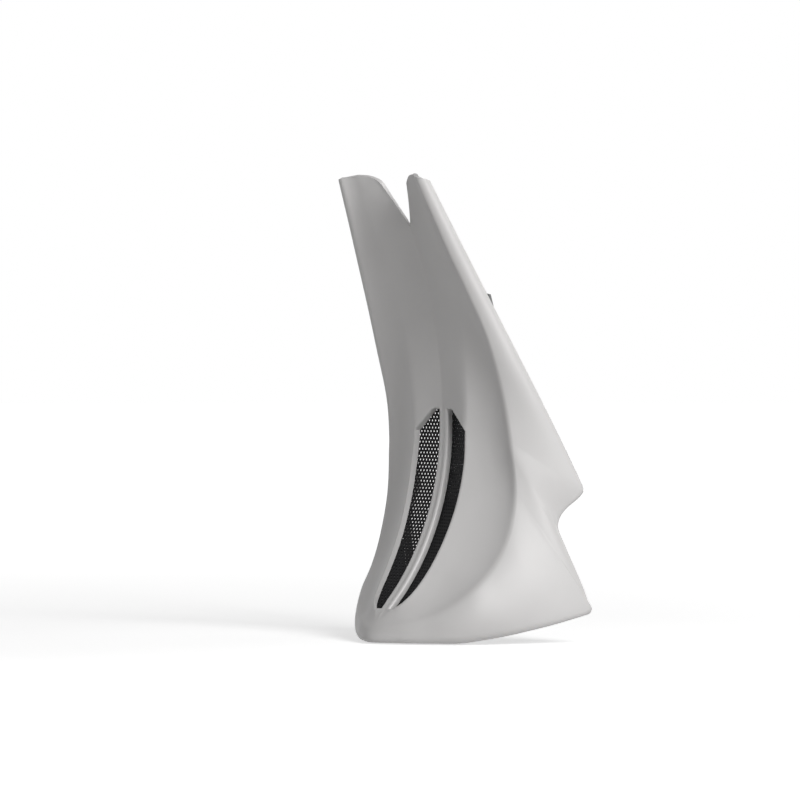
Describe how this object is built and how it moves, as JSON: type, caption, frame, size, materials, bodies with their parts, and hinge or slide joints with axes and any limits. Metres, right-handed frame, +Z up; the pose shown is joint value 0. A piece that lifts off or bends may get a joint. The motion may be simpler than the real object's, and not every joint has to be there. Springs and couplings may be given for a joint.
{
  "type": "motorcycle spoiler",
  "caption": "Tall chin spoiler for a motorcycle frame: forked moulded shell with hex-meshed vents, a cut-out in each side and hidden tube clamps.",
  "frame": {"origin": "centre of the bounding box at its bottom, under the bottom edge", "axes": "+Z up, -Y towards the front wheel, +X to the rider's left; the shell is the same on both sides of the YZ plane"},
  "size_m": [0.299, 0.1864, 0.4934],
  "materials": {
    "silver_paint": "satin silver paint on moulded composite",
    "black_mesh": "matt black powder coat on expanded hexagonal mesh",
    "zinc_plate": "bright zinc plate",
    "dark_steel": "black oxide on steel",
    "black_nylon": "moulded black, slightly grained",
    "rubber": "matt black rubber",
    "coated_steel": "satin black powder coat",
    "brass": "machined brass"
  },
  "bodies": {
    "root": {"shell": "silver_paint", "left_mesh": "black_mesh", "right_mesh": "black_mesh", "mesh_washers": "zinc_plate", "mesh_screws": "dark_steel", "left_upper_pillar": "black_nylon", "left_lower_pillar": "black_nylon", "right_upper_pillar": "black_nylon", "right_lower_pillar": "black_nylon", "left_upper_liner": "rubber", "left_lower_liner": "rubber", "right_upper_liner": "rubber", "right_lower_liner": "rubber", "left_upper_band": "coated_steel", "left_lower_band": "coated_steel", "right_upper_band": "coated_steel", "right_lower_band": "coated_steel", "pillar_inserts": "brass", "band_washers": "zinc_plate", "band_bolts": "dark_steel", "bracket_pads": "rubber", "lower_bracket": "coated_steel", "bracket_bolts": "dark_steel", "bracket_washers": "zinc_plate", "bracket_nuts": "zinc_plate"}
  },
  "joints": []
}
